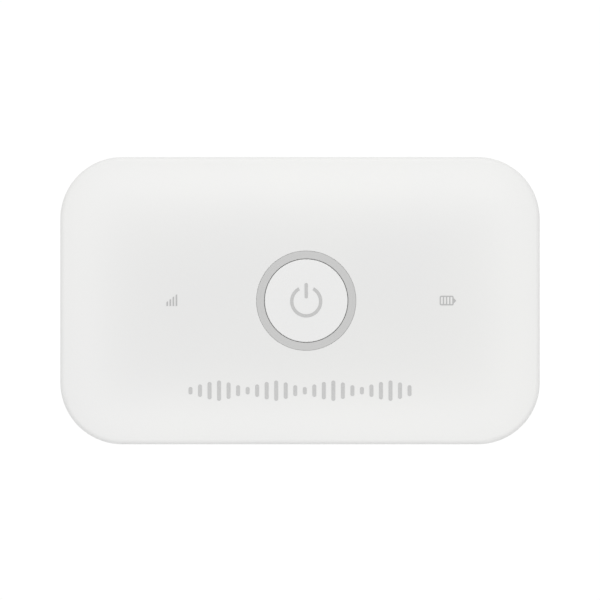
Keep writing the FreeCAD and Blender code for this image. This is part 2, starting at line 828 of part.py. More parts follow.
capacitors = new_body("board_capacitors", many=True)
capacitor_height = dim("capacitor_height", 0.5)
# sketch name, width, depth, x and y of the first, pitch, count
capacitor_rows = (
    ("plan", 1.0, 0.5, 14.0, 12.4, 1.9, 9),
    ("plan_two", 1.0, 0.5, 14.0, 14.6, 1.9, 9),
    ("plan_three", 0.5, 1.0, -7.0, -20.6, 1.6, 10),
)
for name, width, depth, x, y, pitch, count in capacitor_rows:
    plan = rect(width, depth, x=x, y=y)
    made = pad(capacitors, name, board_top, capacitor_height, plan)
    row(capacitors, made, "X_Axis", pitch, count)

# ------------------------------------------------------------------ antennas
# plastic carriers in the ends of the case beside the board, left and right
carrier_z = dim("carrier_level", 6.52)
carrier_height = dim("carrier_height", 4.0)
carrier_top = carrier_z + carrier_height
carrier_half = dim("carrier_half_length", 15.0)
antenna_thick = dim("antenna_thick", 0.1)
carrier_near, carrier_far = 40.6, 46.6  # distances from the case centre
carrier_corner = 1.2
core_side, core_end, core_roof = 1.2, 1.5, 1.0  # walls left around the hollow
# meandered radiator with feed tails that reach over the board: x outwards, y
antenna_trace = (
    (46.2, -14.4), (46.2, 14.4), (41.4, 14.4), (41.4, 9.6), (37.6, 9.6), (37.6, 8.0),
    (43.0, 8.0), (43.0, 12.8), (44.6, 12.8), (44.6, 2.4), (37.6, 2.4), (37.6, 0.8),
    (44.6, 0.8), (44.6, -6.0), (41.4, -6.0), (41.4, -7.6), (44.6, -7.6),
    (44.6, -12.8), (41.4, -12.8), (41.4, -14.4),
)


def outer_upright(box):
    """Picks the upright edges on the far side of a carrier."""
    upright = abs(box.XMax - box.XMin) < 1e-4 and abs(box.YMax - box.YMin) < 1e-4
    return upright and abs(box.XMin) > carrier_far - 0.1


for label, side in (("main", -1), ("diversity", 1)):
    carrier = new_body(label + "_antenna_carrier")
    near, far = carrier_near * side, carrier_far * side
    plan = polygon([
        (near, -carrier_half), (far, -carrier_half), (far, carrier_half), (near, carrier_half),
    ])
    pad(carrier, "plan", carrier_z, carrier_height, plan)
    dress(carrier, "Fillet", carrier_corner, outer_upright)
    core_width = carrier_far - carrier_near - core_side * 2
    core = rect(core_width, carrier_half * 2 - core_end * 2, 0.6, (near + far) / 2)
    pocket(carrier, "core", carrier_z, carrier_height - core_roof, core, reverse=True)
    antenna = new_body(label + "_antenna")
    trace = polygon([(x * side, y) for x, y in antenna_trace])
    pad(antenna, "trace", carrier_top, antenna_thick, trace)

# bent contacts from the board up to the feed tails
springs = new_body("antenna_springs", many=True)
spring_top = carrier_top - gap
spring_width = 1.2
# x outwards, z
spring_profile = (
    (37.9, board_top),
    (39.5, board_top),
    (39.5, board_top + 0.15),
    (38.1, board_top + 0.15),
    (38.1, board_top + 0.3),
    (39.4, spring_top - 0.15),
    (39.2, spring_top),
    (38.6, spring_top),
    (37.9, board_top + 0.4),
)
for side in (-1, 1):
    for k, y in enumerate((1.6, 8.8)):
        profile = polygon([(x * side, z) for x, z in spring_profile])
        pad(
            springs, "spring_%d_%d" % (side + 1, k), -y - spring_width / 2, spring_width,
            profile, plane="XZ_Plane",
        )

wifi_antenna = new_body("wifi_antenna")
pad(wifi_antenna, "plate", board_top + 1.6, 0.2, rect(13.0, 3.2, 0.4, 22.0, 23.4))
legs = [rect(0.4, 1.2, x=x, y=24.2) for x in (15.7, 18.6)]
pad(wifi_antenna, "legs", board_top, 1.65, *legs)

# ------------------------------------------------------------------ battery connector
connector_width = dim("connector_width", 2.8)
connector_z = dim("connector_low", 2.4)
connector_x = dim("connector_x", 26.75)
contact_pitch = dim("contact_pitch", 2.1)
contact_count = 4
first_contact_y = connector_y - contact_pitch * 1.5
slot_width, slot_lift, slot_height = 1.1, 0.35, 3.1
slot_x = connector_x - connector_width / 2 + 0.35
housing = new_body("battery_connector_housing")
housing_plan = rect(
    connector_width, dim("connector_depth", 8.6), 0.3, connector_x, connector_y
)
pad(housing, "plan", connector_z, board_z - connector_z, housing_plan)
dress(housing, "Chamfer", dim("connector_chamfer", 0.2), at_z(connector_z))
slot = rect(slot_width, slot_width, x=slot_x, y=first_contact_y)
made = pocket(housing, "slot", connector_z + slot_lift, slot_height, slot, reverse=True)
row(housing, made, "Y_Axis", contact_pitch, contact_count)

blades = new_body("battery_connector_springs", many=True)
blade_x = 24.55  # leftmost point of the blades
blade_width = 0.8
# x from the leftmost point, z
blade_profile = (
    (1.3, 5.7), (1.15, 5.7), (0, 4.2), (0, 3.4), (0.95, 2.95),
    (1.0, 3.09), (0.15, 3.5), (0.15, 4.15), (1.3, 5.5),
)
blade = polygon([(blade_x + x, z) for x, z in blade_profile])
blade_level = -(first_contact_y + blade_width / 2)
made = pad(blades, "blade", blade_level, blade_width, blade, plane="XZ_Plane")
row(blades, made, "Y_Axis", contact_pitch, contact_count)

# ------------------------------------------------------------------ SIM socket and card
socket_z, socket_base_z = 6.4, 7.56
strip_thick = 0.09
contact_columns = (-2.54, 0.0, 2.54)
socket = new_body("sim_socket_shell")
pad(socket, "plan", socket_z, board_z - socket_z, rect(12.8, 13.0, 0.5, sim_x, 2.0))
socket_inside = rect(12.3, 13.2, x=sim_x, y=1.6)
pocket(socket, "inside", socket_z + 0.22, 1.3, socket_inside, reverse=True)
pocket(
    socket, "windows", socket_z - overlap, 0.5,
    rect(6.6, 3.4, 0.6, sim_x, 4.0),
    rect(2.2, 3.0, 0.5, sim_x - 3.6, -1.6),
    rect(2.2, 3.0, 0.5, sim_x + 3.6, -1.6),
    reverse=True,
)

socket_base = new_body("sim_socket_base")
base_plan = rect(12.2, 12.7, x=sim_x, y=1.8)
pad(socket_base, "plan", socket_base_z, board_z - socket_base_z, base_plan)

socket_contacts = new_body("sim_socket_contacts", many=True)
strips = [rect(1.0, 3.0, x=sim_x + x, y=y) for y in (-1.8, 3.4) for x in contact_columns]
pad(socket_contacts, "strips", socket_base_z - strip_thick, strip_thick, *strips)

sim_half_width = dim("sim_width", 12.0) / 2
sim_half_length = dim("sim_length", 15.0) / 2
sim_thick = dim("sim_thick", 0.76)
sim_z = dim("sim_level", 6.7)
sim_front = sim_z + sim_thick
sim_cut = 1.65  # cut corner of the card
sim_pad_thick = 0.05
sim_card = new_body("sim_card")
card_plan = polygon([
    (-sim_half_width, -sim_half_length),
    (sim_half_width, -sim_half_length),
    (sim_half_width, sim_half_length - sim_cut),
    (sim_half_width - sim_cut, sim_half_length),
    (-sim_half_width, sim_half_length),
])
pad(sim_card, "plan", sim_z, sim_thick, card_plan, at=(sim_x, 0))
pad_recess = rect(8.2, 9.6, 0.8, y=0.8)
pocket(sim_card, "pad_pocket", sim_front, sim_pad_thick, pad_recess, at=(sim_x, 0))

card_contacts = new_body("sim_card_contacts", many=True)
pads = [rect(2.2, 2.9, 0.3, x, y) for x in contact_columns for y in (-2.2, 3.8)]
pad(card_contacts, "pads", sim_front - sim_pad_thick, sim_pad_thick, *pads, at=(sim_x, 0))

# ------------------------------------------------------------------ screws
screws = new_body("chassis_screws", many=True)
head_z = 5.88
cross_length, cross_width, cross_deep = 1.3, 0.3, 0.35
turned = revolve(screws, screw_x, screw_y, [
    (0, head_z),
    (1.1, head_z),
    (1.35, 6.06),
    (1.35, 6.48),
    (0.78, 6.5),
    (0.78, 8.4),
    (0.62, 8.56),
    (0.62, 10.4),
    (0.2, 10.9),
    (0, 10.9),
])
slot = rect(cross_length, cross_width, x=screw_x, y=screw_y)
cross_one = pocket(screws, "cross_one", head_z, cross_deep, slot, reverse=True)
slot = rect(cross_width, cross_length, x=screw_x, y=screw_y)
cross_two = pocket(screws, "cross_two", head_z, cross_deep, slot, reverse=True)
mirror(screws, [turned, cross_one, cross_two], "YZ_Plane", "XZ_Plane")

label_z = 5.72
block(
    "rating_label", battery_x, 0, label_z,
    dim("label_width", 46.0), dim("label_depth", 28.0), dim("label_thick", 0.07),
)

# ------------------------------------------------------------------ rear cover
cover = new_body("rear_cover")
cover_wall = dim("cover_wall", 1.2, "rear cover side wall")
cover_skin = dim("cover_skin", 1.1, "rear cover face thickness")
pad(cover, "outline", 0, seam, outline())
pocket(cover, "cavity", seam, seam - cover_skin, outline(cover_wall))
dress(cover, "Fillet", dim("cover_inner_radius", 3.2), at_z(cover_skin))
dress(cover, "Fillet", dim("rear_edge_radius", 4.4), at_z(0))


def outer_seam(box):
    """Picks seam-level edges that reach the sides of the case."""
    reach_x = max(abs(box.XMin), abs(box.XMax)) > body_width.value / 2 - 0.01
    reach_y = max(abs(box.YMin), abs(box.YMax)) > body_depth.value / 2 - 0.01
    return at_z(seam)(box) and (reach_x or reach_y)


dress(cover, "Chamfer", seam_bevel, outer_seam)
# alignment lip that enters the front shell
lip_root = 0.6
pad(
    cover, "lip", seam - lip_root, dim("lip_height", 0.8) + lip_root,
    outline(dim("lip_outer_inset", 0.75, "alignment lip, outer face inset from the outline")),
    outline(dim("lip_inner_inset", 1.35, "alignment lip, inner face inset")),
)
# detent ribs facing the chassis rim
detent_z, detent_height, detent_thick = 3.7, 1.5, 0.45
detent_inset = cover_wall + 0.075  # rib centre from the case side
detent_y = body_depth / 2 - detent_inset
detents = [rect(5.0, detent_thick, x=x, y=detent_y) for x in (-24.0, 0.0, 24.0)]
made = pad(cover, "detents", detent_z, detent_height, *detents)
mirror(cover, [made], "XZ_Plane")
end_detent = rect(detent_thick, 6.0, x=body_width / 2 - detent_inset)
made = pad(cover, "end_detents", detent_z, detent_height, end_detent)
mirror(cover, [made], "YZ_Plane")
# finger-nail notch at the parting line, right end
nail_notch = circle(dim("notch_radius", 8.0), dim("notch_y", -9.0), seam + 6.75)
notch_deep = dim("notch_deep", 0.85)
pocket(cover, "nail_notch", body_width / 2 + 0.2, notch_deep, nail_notch, plane="YZ_Plane")

# ------------------------------------------------------------------ battery pack
header_width = dim("battery_header_width", 2.6)
cell_width = battery_width - header_width
pack_depth = battery_depth - 0.2
battery_right = battery_x + battery_width / 2
cell_edge = dim("cell_edge_radius", 0.7)
cell = new_body("battery_cell")
cell_plan = rect(cell_width - 0.1, pack_depth, 1.2)
pad(cell, "plan", battery_z, battery_thick, cell_plan, at=(battery_x - header_width / 2, 0))
dress(cell, "Fillet", cell_edge, at_z(battery_z))
dress(cell, "Fillet", cell_edge, at_z(battery_z + battery_thick))

# plastic end with the terminals, at the right of the cell
header = new_body("battery_header")
header_at = (battery_right - header_width / 2, 0)
header_plan = rect(header_width, pack_depth, 0.5)
pad(header, "plan", battery_z, battery_thick, header_plan, at=header_at)


def terminal_rects(width, height):
    """One rectangle on the YZ plane for each battery contact."""
    centres = [connector_y + contact_pitch * (k - 1.5) for k in range(contact_count)]
    return [rect(width, height, x=centre, y=3.6) for centre in centres]


recesses = terminal_rects(1.5, 2.2)
pocket(header, "terminal_pockets", battery_right, 0.3, *recesses, plane="YZ_Plane")

terminals = new_body("battery_terminals", many=True)
pad(
    terminals, "pads", battery_right - 0.04, 0.24,
    *terminal_rects(1.4, 2.1), plane="YZ_Plane", reverse=True
)

# printed film sleeve around the cell
wrap = new_body("battery_wrap")
sleeve = [
    rect(
        pack_depth + growth * 2, battery_thick + growth * 2, cell_edge + growth,
        y=battery_z + battery_thick / 2,
    )
    for growth in (0.07, 0.005)
]
wrap_left = battery_x - battery_width / 2 + 3.0
pad(wrap, "section", wrap_left, cell_width - 4.0, *sleeve, plane="YZ_Plane")

# ------------------------------------------------------------------ check and write
doc.recompute()
bad = []
for item in doc.Objects:
    if any(word in item.State for word in ("Invalid", "Error")):
        bad.append("%s is %s" % (item.Name, item.State))
for node in nodes:
    shape = node.Shape
    if shape.isNull() or not shape.isValid() or not shape.Solids or shape.Volume <= 0:
        bad.append("%s has no good shape" % node.Label)
if bad:
    raise SystemExit("build failed: " + "; ".join(bad))
os.makedirs("parts", exist_ok=True)
for node in nodes:
    node.Shape.exportStep(os.path.join("parts", node.Label + ".step"))
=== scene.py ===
# A battery-powered pocket router lying on its rear cover.
# Metres: +Z is up, out of the front face; the wide side runs along X and the short side along Y.
# The CAD pieces are given materials, then a button cushion, printed marks and solder are added.
import json
import math
import bmesh
import bpy
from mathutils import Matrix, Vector

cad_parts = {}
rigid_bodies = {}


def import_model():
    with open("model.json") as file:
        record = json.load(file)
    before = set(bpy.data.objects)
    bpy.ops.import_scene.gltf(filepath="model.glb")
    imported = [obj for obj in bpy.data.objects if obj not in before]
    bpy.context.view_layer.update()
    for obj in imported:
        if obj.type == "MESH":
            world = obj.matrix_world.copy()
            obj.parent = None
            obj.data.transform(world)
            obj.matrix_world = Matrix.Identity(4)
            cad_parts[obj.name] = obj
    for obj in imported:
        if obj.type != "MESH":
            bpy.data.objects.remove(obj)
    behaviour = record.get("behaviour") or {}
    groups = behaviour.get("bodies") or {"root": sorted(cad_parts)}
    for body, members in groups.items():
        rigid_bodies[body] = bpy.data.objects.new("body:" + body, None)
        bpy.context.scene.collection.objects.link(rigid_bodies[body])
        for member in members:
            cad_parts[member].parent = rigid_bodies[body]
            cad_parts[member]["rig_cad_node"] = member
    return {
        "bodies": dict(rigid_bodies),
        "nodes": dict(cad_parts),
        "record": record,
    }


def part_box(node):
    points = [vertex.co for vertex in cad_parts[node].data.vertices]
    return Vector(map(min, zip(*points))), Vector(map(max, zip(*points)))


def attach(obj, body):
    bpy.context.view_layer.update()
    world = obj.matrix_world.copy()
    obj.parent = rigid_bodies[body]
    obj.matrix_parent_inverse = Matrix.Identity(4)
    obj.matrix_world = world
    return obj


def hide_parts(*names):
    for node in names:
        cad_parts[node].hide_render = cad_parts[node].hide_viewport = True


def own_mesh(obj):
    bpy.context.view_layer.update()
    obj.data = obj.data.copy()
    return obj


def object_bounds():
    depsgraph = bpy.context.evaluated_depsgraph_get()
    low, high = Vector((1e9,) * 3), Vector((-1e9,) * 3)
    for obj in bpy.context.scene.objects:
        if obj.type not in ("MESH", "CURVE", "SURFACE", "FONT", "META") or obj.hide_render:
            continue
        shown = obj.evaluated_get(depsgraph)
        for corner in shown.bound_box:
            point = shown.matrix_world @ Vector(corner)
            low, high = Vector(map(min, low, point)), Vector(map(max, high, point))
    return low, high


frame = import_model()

nodes, bodies, record = frame["nodes"], frame["bodies"], frame["record"]
cad_box = [list(map(float, p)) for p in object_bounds()]

MM = 0.001
HALF_X, HALF_Y = cad_box[1][:2]
FRONT_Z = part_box("front_shell")[1][2]
button_lo, button_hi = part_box("power_button")
BUTTON_X, BUTTON_Y = [(button_lo[i] + button_hi[i]) / 2 for i in range(2)]


# ------------------------------------------------------------------ node helpers
class Graph:
    """Short ways to add nodes to a shader tree; a value may be a number or a socket."""

    def __init__(self, tree):
        self.tree = tree

    def put(self, socket, value):
        if isinstance(value, bpy.types.NodeSocket):
            self.tree.links.new(value, socket)
        else:
            socket.default_value = value

    def node(self, kind, inputs=None, **properties):
        node = self.tree.nodes.new("ShaderNode" + kind)
        for key, value in properties.items():
            setattr(node, key, value)
        for key, value in (inputs or {}).items():
            self.put(node.inputs[key], value)
        return node

    def math(self, operation, *values, clamp=False):
        inputs = dict(enumerate(values))
        return self.node("Math", inputs, operation=operation, use_clamp=clamp).outputs[0]

    def remap(self, value, span, to=(0, 1), **properties):
        inputs = dict(enumerate((value, *span, *to)))
        return self.node("MapRange", inputs, **properties).outputs[0]


class Material(Graph):
    """A principled material whose textures run in object space, so in real metres."""

    def __init__(self, name):
        self.material = bpy.data.materials.new(name)
        self.material.use_nodes = True
        super().__init__(self.material.node_tree)
        self.shader = self.tree.nodes["Principled BSDF"]
        self.position = self.node("TexCoord").outputs["Object"]

    def set(self, name, value):
        self.put(self.shader.inputs[name], value)

    def math(self, operation, a, b=0.0):
        return super().math(operation, a, b, 0.0)

    def weighted(self, a, b, weights):
        a = self.math("MULTIPLY", a, weights[0])
        b = self.math("MULTIPLY", b, weights[1])
        return self.math("ADD", a, b)

    def noise(self, scale, detail=3.0, roughness=0.5, vector=None):
        inputs = {"Scale": scale, "Detail": detail, "Roughness": roughness}
        inputs["Vector"] = vector or self.position
        return self.node("TexNoise", inputs).outputs["Fac"]

    def voronoi(self, scale, feature="F1", vector=None):
        inputs = {"Scale": scale, "Vector": vector or self.position}
        return self.node("TexVoronoi", inputs, feature=feature).outputs["Distance"]

    def mix(self, factor, a, b):
        node = self.node("Mix", data_type="RGBA")
        self.put(node.inputs["Factor"], factor)
        for name, value in (("A", a), ("B", b)):
            socket = [s for s in node.inputs if s.name == name and s.type == "RGBA"][0]
            self.put(socket, (*value, 1.0) if isinstance(value, tuple) else value)
        return [s for s in node.outputs if s.type == "RGBA"][0]

    def bump(self, height, distance):
        bump = self.node("Bump", {"Distance": distance, "Height": height})
        self.set("Normal", bump.outputs[0])

    def xyz(self):
        return self.node("SeparateXYZ", {0: self.position}).outputs

    def stretched(self, scale):
        inputs = {"Vector": self.position, "Scale": scale}
        return self.node("Mapping", inputs).outputs[0]


def scaled_colour(colour, factor):
    return tuple(c * factor for c in colour)


# ------------------------------------------------------------------ materials
def moulded(name, colour, roughness, grain, depth, spread, light_colour=None):
    """Moulded material: fine pitted grain, slow tone drift and uneven gloss."""
    m = Material(name)
    slow = m.noise(scale=28.0, detail=2.0)
    fine = m.noise(scale=grain, detail=4.0, roughness=0.6)
    pits = m.voronoi(scale=grain * 0.55)
    dark = scaled_colour(colour, 1 - spread)
    light = scaled_colour(light_colour or colour, 1 + spread)
    m.set("Base Color", m.mix(m.remap(slow, span=(0.35, 0.65)), dark, light))
    height = m.weighted(fine, pits, weights=(0.7, 0.5))
    gloss = m.weighted(slow, fine, weights=(0.5, 0.5))
    m.set("Roughness", m.remap(gloss, span=(0.3, 0.7), to=(roughness - 0.05, roughness + 0.06)))
    m.bump(height, distance=depth)
    return m.material


def metal(name, colour, roughness, streak, grain, depth=0.000004, spread=0.06):
    """Metal whose grain may be drawn out by the streak scale."""
    m = Material(name)
    vector = m.stretched(streak) if streak else None
    fine = m.noise(scale=grain, detail=3.0, roughness=0.6, vector=vector)
    slow = m.noise(scale=60.0, detail=2.0)
    tone = m.weighted(fine, slow, weights=(0.6, 0.4))
    dark, light = scaled_colour(colour, 1 - spread), scaled_colour(colour, 1 + spread)
    m.set("Base Color", m.mix(m.remap(tone, span=(0.3, 0.7)), dark, light))
    m.set("Roughness", m.remap(tone, span=(0.3, 0.7), to=(roughness * 0.8, roughness * 1.25)))
    m.set("Metallic", 1.0)
    m.bump(fine, distance=depth)
    return m.material


def spun_ring():
    """Satin grey with fine circles about the button's own axis."""
    groove_pitch = 0.00022
    m = Material("spun_grey_ring")
    x, y, _ = m.xyz()
    x = m.math("SUBTRACT", x, BUTTON_X)
    y = m.math("SUBTRACT", y, BUTTON_Y)
    squares = m.math("ADD", m.math("MULTIPLY", x, x), m.math("MULTIPLY", y, y))
    radius = m.math("SQRT", squares)
    circles = {"Scale": 5200.0, "Detail": 3.0, "Roughness": 0.65, "W": radius}
    circles = m.node("TexNoise", circles, noise_dimensions="1D").outputs["Fac"]
    wave = m.math("SINE", m.math("MULTIPLY", radius, 2 * math.pi / groove_pitch))
    # seven tenths noise, three tenths regular grooves
    circles = m.math("MULTIPLY", circles, 0.7)
    grooves = m.math("MULTIPLY", m.math("ADD", wave, 1.0), 0.15)
    height = m.math("ADD", circles, grooves)
    tone = m.remap(height, span=(0.25, 0.75))
    m.set("Base Color", m.mix(tone, (0.545, 0.545, 0.542), (0.620, 0.620, 0.616)))
    m.set("Roughness", m.remap(height, span=(0.3, 0.7), to=(0.30, 0.44)))
    m.set("Specular IOR Level", 0.6)
    m.bump(height, distance=0.000006)
    return m.material


def ink(name, dark, light):
    """Thin grey ink with slightly uneven cover."""
    m = Material(name)
    cover = m.noise(scale=5200.0, detail=3.0, roughness=0.65)
    m.set("Base Color", m.mix(m.remap(cover, span=(0.35, 0.65)), dark, light))
    m.set("Roughness", m.remap(cover, span=(0.3, 0.7), to=(0.42, 0.55)))
    m.bump(cover, distance=0.000004)
    return m.material


def sleeve_film():
    """Pale glossy film with one blue band across it."""
    band_from, band_to = -0.0395, -0.0345
    m = Material("printed_sleeve_film")
    x = m.xyz()[0]
    slow = m.noise(scale=90.0, detail=3.0)
    fine = m.noise(scale=2600.0, detail=3.0)
    above, below = m.math("GREATER_THAN", x, band_from), m.math("LESS_THAN", x, band_to)
    band = m.math("MULTIPLY", above, below)
    tone = m.remap(slow, span=(0.35, 0.65))
    film = m.mix(tone, (0.755, 0.765, 0.775), (0.775, 0.785, 0.795))
    m.set("Base Color", m.mix(band, film, (0.10, 0.22, 0.36)))
    m.set("Roughness", m.remap(slow, span=(0.3, 0.7), to=(0.30, 0.36)))
    m.set("Coat Weight", 0.3)
    m.bump(m.weighted(slow, fine, weights=(0.25, 0.12)), distance=0.00001)
    return m.material


def clear_guide():
    m = Material("frosted_clear_guide")
    frost = m.noise(scale=1800.0, detail=3.0)
    m.set("Base Color", m.mix(frost, (0.86, 0.88, 0.89), (0.94, 0.95, 0.96)))
    m.set("Roughness", m.remap(frost, span=(0.3, 0.7), to=(0.25, 0.42)))
    m.set("Transmission Weight", 0.55)
    m.set("IOR", 1.49)
    m.bump(frost, distance=0.000008)
    return m.material


def lamp_resin():
    m = Material("cast_lamp_resin")
    cloud = m.noise(scale=2400.0, detail=2.0)
    m.set("Base Color", m.mix(cloud, (0.86, 0.82, 0.52), (0.92, 0.90, 0.70)))
    m.set("Roughness", m.remap(cloud, span=(0.3, 0.7), to=(0.18, 0.3)))
    m.set("Transmission Weight", 0.25)
    return m.material


def ceramic():
    m = Material("fired_ceramic_parts")
    grain = m.noise(scale=5200.0, detail=2.0)
    tone = m.remap(grain, span=(0.3, 0.7))
    m.set("Base Color", m.mix(tone, (0.36, 0.26, 0.17), (0.50, 0.38, 0.26)))
    m.set("Roughness", m.remap(grain, span=(0.3, 0.7), to=(0.36, 0.52)))
    m.bump(grain, distance=0.000006)
    return m.material


def circuit_board():
    """Green solder mask over copper tracks, with round metal pads."""
    track_width, pad_radius = 0.09, 0.13  # in texture cells
    m = Material("solder_mask_board")
    slow = m.noise(scale=90.0, detail=1.0)
    cells = m.stretched((1.0, 0.55, 1.0))
    edges = m.voronoi(scale=320.0, feature="DISTANCE_TO_EDGE", vector=cells)
    track = m.math("LESS_THAN", edges, track_width)
    pads = m.math("LESS_THAN", m.voronoi(scale=260.0), pad_radius)
    weave = m.noise(scale=2400.0, detail=2.0)
    mask = m.mix(track, (0.008, 0.075, 0.038), (0.020, 0.125, 0.066))
    weave_tone = m.remap(weave, span=(0.3, 0.7), to=(0, 0.25))
    mask = m.mix(weave_tone, mask, (0.02, 0.10, 0.055))
    m.set("Base Color", m.mix(pads, mask, (0.72, 0.64, 0.42)))
    m.set("Metallic", m.math("MULTIPLY", pads, 0.9))
    m.set("Roughness", m.remap(slow, span=(0.3, 0.7), to=(0.24, 0.36)))
    height = m.math("ADD", track, m.math("MULTIPLY", weave, 0.2))
    m.bump(height, distance=0.00002)
    return m.material


# slot, name, colour, roughness, grain scale, bump depth, tone spread
MOULDED = (
    ("dark_chassis", "black_textured_plastic", (0.028, 0.029, 0.031), 0.52, 2200, 0.00002, 0.18),
    ("silicone", "milky_silicone", (0.70, 0.70, 0.69), 0.62, 1500, 0.000008, 0.03),
    ("foam", "black_foam", (0.022, 0.022, 0.023), 0.9, 1400, 0.0001, 0.25),
    ("black_resin", "moulded_epoxy", (0.026, 0.026, 0.028), 0.56, 3400, 0.00001, 0.2),
    ("ferrite", "pressed_ferrite", (0.075, 0.075, 0.085), 0.7, 2600, 0.00002, 0.2),
    ("pad_grey", "thermal_silicone", (0.36, 0.42, 0.50), 0.75, 1800, 0.00002, 0.08),
    ("carrier_plastic", "antenna_carrier_plastic", (0.06, 0.06, 0.064), 0.5, 2400, 0.00001, 0.15),
    ("connector_plastic", "nylon_connector", (0.74, 0.72, 0.65), 0.46, 2600, 0.000008, 0.04),
    ("card_plastic", "laminated_card", (0.80, 0.81, 0.83), 0.36, 4200, 0.000003, 0.02),
    ("label_paper", "coated_label", (0.74, 0.74, 0.72), 0.6, 5200, 0.000005, 0.03),
)
# slot, name, colour, roughness, streak scale, grain scale, bump depth where not the default
METALS = (
    ("tinned_sheet", "rolled_tin_plate", (0.66, 0.665, 0.66), 0.30, (1, 12, 1), 900),
    ("steel_port", "drawn_steel", (0.60, 0.61, 0.62), 0.26, (8, 1, 8), 1400),
    ("gold_contact", "gold_plate", (0.86, 0.62, 0.26), 0.24, None, 2600),
    ("cell_foil", "laminated_foil", (0.72, 0.72, 0.73), 0.34, (1, 6, 1), 700, 0.00001),
    ("screw_steel", "black_zinc_screw", (0.17, 0.17, 0.18), 0.34, None, 4200),
)

MATERIALS = {
    "white_case": moulded(
        "white_satin_plastic", (0.815, 0.815, 0.812), roughness=0.40, grain=2600.0,
        depth=0.000011, spread=0.007, light_colour=(0.815, 0.815, 0.806),
    )
}
button_plastic = moulded(
    "white_button_plastic", (0.845, 0.845, 0.843), roughness=0.36, grain=3600.0,
    depth=0.000005, spread=0.005,
)
MATERIALS["ring_grey"] = spun_ring()
MATERIALS["print_grey"] = ink("printed_grey_ink", (0.525, 0.525, 0.523), (0.595, 0.595, 0.593))
icon_ink = ink("printed_icon_ink", (0.46, 0.46, 0.46), (0.53, 0.53, 0.53))
for slot, *values in MOULDED:
    MATERIALS[slot] = moulded(*values)
for slot, *values in METALS:
    MATERIALS[slot] = metal(*values)
MATERIALS["sleeve_film"] = sleeve_film()
MATERIALS["clear_guide"] = clear_guide()
MATERIALS["lamp"] = lamp_resin()
MATERIALS["ceramic_tan"] = ceramic()
MATERIALS["board_green"] = circuit_board()

# pieces whose material differs from the rest of their slot
OWN_MATERIAL = {
    "power_button": button_plastic,
    "signal_icon": icon_ink,
    "battery_icon": icon_ink,
}


def coat(obj, slot):
    obj.data.materials.clear()
    obj.data.materials.append(MATERIALS[slot])


slot_of = {part["node"]: part["material_slot"] for part in record["subparts"]}
for name, obj in nodes.items():
    coat(obj, slot_of[name])
    if name in OWN_MATERIAL:
        obj.data.materials[0] = OWN_MATERIAL[name]
    for face in obj.data.polygons:
        face.material_index = 0


# ------------------------------------------------------------------ mesh helpers
def mesh_piece(name, body, slot, build, smooth=False):
    """Object made by build(bm), coated and riding on the named body."""
    bm = bmesh.new()
    build(bm)
    bmesh.ops.remove_doubles(bm, verts=bm.verts, dist=1e-8)
    bmesh.ops.recalc_face_normals(bm, faces=bm.faces)
    mesh = bpy.data.meshes.new(name)
    bm.to_mesh(mesh)
    bm.free()
    obj = bpy.data.objects.new(name, mesh)
    bpy.context.scene.collection.objects.link(obj)
    for face in mesh.polygons:
        face.use_smooth = smooth
    coat(obj, slot)
    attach(obj, body)
    return obj


def slab(bm, centre_x, centre_y, z, width, height, thickness, radius, segments=5):
    """Flat plate with round corners, width along X and height along Y, from z upwards."""
    points = []
    for side_x, side_y, start in ((1, -1, -90), (1, 1, 0), (-1, 1, 90), (-1, -1, 180)):
        corner_x = centre_x + side_x * (width / 2 - radius)
        corner_y = centre_y + side_y * (height / 2 - radius)
        for k in range(segments + 1):
            angle = math.radians(start + 90 * k / segments)
            x = corner_x + radius * math.cos(angle)
            points.append((x, corner_y + radius * math.sin(angle)))
    lower = [bm.verts.new((x, y, z)) for x, y in points]
    upper = [bm.verts.new((x, y, z + thickness)) for x, y in points]
    bm.faces.new(list(reversed(lower)))
    bm.faces.new(upper)
    for i in range(len(points)):
        j = (i + 1) % len(points)
        bm.faces.new((lower[i], lower[j], upper[j], upper[i]))


def turned(bm, centre_x, centre_y, profile, segments=96):
    """Closed ring turned about a vertical axis; profile is (radius, z) points."""
    angles = [2 * math.pi * k / segments for k in range(segments)]
    loops = []
    for radius, z in profile:
        loops.append([
            bm.verts.new((centre_x + radius * math.cos(a), centre_y + radius * math.sin(a), z))
            for a in angles
        ])
    for i, loop in enumerate(loops):
        following = loops[(i + 1) % len(loops)]
        for k in range(segments):
            j = (k + 1) % segments
            bm.faces.new((loop[k], loop[j], following[j], following[k]))


def bead(bm, start, end, z, radius, segments=6):
    """Half-round bead lying at height z between two (x, y) points."""
    run_x, run_y = end[0] - start[0], end[1] - start[1]
    length = math.hypot(run_x, run_y)
    across_x, across_y = -run_y / length, run_x / length
    ends = []
    for x, y in (start, end):
        loop = []
        for k in range(segments + 1):
            angle = math.pi * k / segments
            offset = radius * math.cos(angle)
            rise = radius * math.sin(angle)
            loop.append(bm.verts.new((x + across_x * offset, y + across_y * offset, z + rise)))
        ends.append(loop)
    first, last = ends
    for k in range(segments):
        bm.faces.new((first[k], first[k + 1], last[k + 1], last[k]))
    bm.faces.new((first[-1], first[0], last[0], last[-1]))
    bm.faces.new(first)
    bm.faces.new(list(reversed(last)))


# ------------------------------------------------------------------ button cushion
# a ring with bellied walls in place of the straight CAD ring
CUSHION_INNER = 0.0078
CUSHION_END_WIDTH = 0.72  # wall width at top and bottom, as a share of the width at mid height
CUSHION_STEPS = 8
cushion_lo, cushion_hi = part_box("button_cushion")


